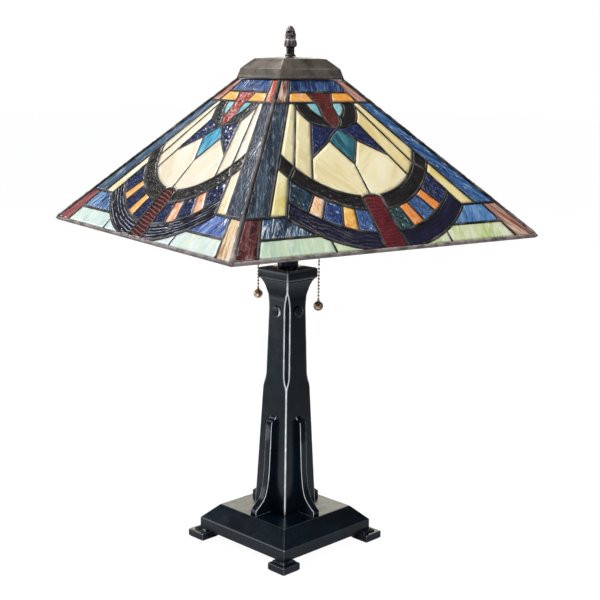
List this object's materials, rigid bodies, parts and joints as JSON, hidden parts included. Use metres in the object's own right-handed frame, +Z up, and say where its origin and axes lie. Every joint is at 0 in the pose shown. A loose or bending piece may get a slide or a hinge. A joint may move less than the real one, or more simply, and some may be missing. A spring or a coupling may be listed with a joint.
{
  "type": "table lamp",
  "caption": "Footed square-column table lamp with a four-sided leaded-glass pyramid shade, pull-chain sockets and a screw-on finial.",
  "frame": {"origin": "on the lamp's vertical axis at the underside of the felt pads", "axes": "+Z up along the column; the base's sides lie along X and Y; the two sockets lie along +X and -X"},
  "size_m": [0.5326, 0.5326, 0.69],
  "materials": {
    "cast_black": "satin blue-black cast finish, lighter where edges are worn",
    "felt": "dark felt",
    "steel": "zinc plated",
    "iron": "raw casting",
    "black_nylon": "moulded nylon",
    "brass": "lacquered brass",
    "antique_brass": "aged brass",
    "fibre": "vulcanised fibre liner",
    "phenolic": "moulded phenolic",
    "lamp_glass": "frosted envelope",
    "solder": "solder with a dark patina",
    "cap_patina": "stamped brass with a brown patina",
    "bronze": "dark bronze",
    "cream_glass": "opalescent, wispy",
    "amber_glass": "opalescent",
    "navy_glass": "rippled cathedral",
    "denim_glass": "rippled, streaked",
    "rust_glass": "streaked opalescent",
    "pale_green_glass": "streaked opalescent",
    "sky_blue_glass": "strong ripple",
    "purple_glass": "rippled cathedral",
    "charcoal_glass": "near black",
    "crimson_glass": "ladder ripple",
    "teal_glass": "rippled cathedral"
  },
  "bodies": {
    "stand": {"base_plate": "cast_black", "corner_feet": "cast_black", "felt_pads": "felt", "foot_screws": "steel", "ballast_block": "iron", "base_cover": "steel", "cover_screws": "steel", "cord_bushing": "black_nylon", "column_body": "cast_black", "capital": "cast_black", "buttress_fins": "cast_black", "fin_pins": "cast_black", "peg_buttons": "cast_black", "lamp_pipe": "steel", "pipe_nut": "steel", "lock_washer": "steel", "neck_collar": "cast_black", "upper_lock_nut": "steel", "cluster_body": "brass", "cluster_cap": "brass", "socket_nipples": "brass", "socket_caps": "brass", "socket_shells": "brass", "socket_insulators": "fibre", "socket_interiors": "phenolic", "screw_shells": "brass", "center_contacts": "brass", "chain_bells": "brass", "riser_rod": "steel", "riser_nut": "steel", "riser_washer": "steel"},
    "shade": {"came_panels": "solder", "corner_seams": "solder", "rim_channel": "solder", "glass_cream": "cream_glass", "glass_amber": "amber_glass", "glass_navy": "navy_glass", "glass_denim": "denim_glass", "glass_rust": "rust_glass", "glass_pale_green": "pale_green_glass", "glass_sky_blue": "sky_blue_glass", "glass_purple": "purple_glass", "glass_crimson": "crimson_glass", "glass_teal": "teal_glass", "glass_black": "charcoal_glass", "shade_cap": "cap_patina", "cap_plate": "brass"},
    "finial": {"finial": "bronze"},
    "left_bulb": {"left_bulb_glass": "lamp_glass", "left_bulb_base": "brass"},
    "left_pull": {"left_pull_stem": "brass"},
    "left_chain_top": {"left_upper_chain": "antique_brass"},
    "left_chain_end": {"left_lower_chain": "antique_brass", "left_pull_ball": "antique_brass"},
    "right_bulb": {"right_bulb_glass": "lamp_glass", "right_bulb_base": "brass"},
    "right_pull": {"right_pull_stem": "brass"},
    "right_chain_top": {"right_upper_chain": "antique_brass"},
    "right_chain_end": {"right_lower_chain": "antique_brass", "right_pull_ball": "antique_brass"}
  },
  "joints": [
    {"name": "shade_turn", "type": "hinge", "parent": "stand", "child": "shade", "pos_m": [0, 0, 0.628], "axis": [0, 0, 1], "continuous": true},
    {"name": "finial_turn", "type": "hinge", "parent": "stand", "child": "finial", "pos_m": [0, 0, 0.66], "axis": [0, 0, 1], "continuous": true},
    {"name": "left_bulb_unscrew", "type": "hinge", "parent": "stand", "child": "left_bulb", "pos_m": [-0.07, 0, 0.458], "axis": [-1, 0, 0], "continuous": true},
    {"name": "left_chain_pull", "type": "slide", "parent": "stand", "child": "left_pull", "axis": [0, 0, -1], "range_m": [0, 0.008], "stiffness_N_per_m": 400, "springref_m": -0.002},
    {"name": "left_chain_swing", "type": "hinge", "parent": "left_pull", "child": "left_chain_top", "pos_m": [-0.057, 0, 0.4256], "axis": [0, 1, 0], "range_deg": [-15, 30]},
    {"name": "left_chain_sway", "type": "hinge", "parent": "left_chain_top", "child": "left_chain_end", "pos_m": [-0.057, 0, 0.386], "axis": [1, 0, 0], "range_deg": [-30, 30]},
    {"name": "right_bulb_unscrew", "type": "hinge", "parent": "stand", "child": "right_bulb", "pos_m": [0.07, 0, 0.458], "axis": [1, 0, 0], "continuous": true},
    {"name": "right_chain_pull", "type": "slide", "parent": "stand", "child": "right_pull", "axis": [0, 0, -1], "range_m": [0, 0.008], "stiffness_N_per_m": 400, "springref_m": -0.002},
    {"name": "right_chain_swing", "type": "hinge", "parent": "right_pull", "child": "right_chain_top", "pos_m": [0.057, 0, 0.4256], "axis": [0, -1, 0], "range_deg": [-15, 30]},
    {"name": "right_chain_sway", "type": "hinge", "parent": "right_chain_top", "child": "right_chain_end", "pos_m": [0.057, 0, 0.386], "axis": [1, 0, 0], "range_deg": [-30, 30]}
  ]
}
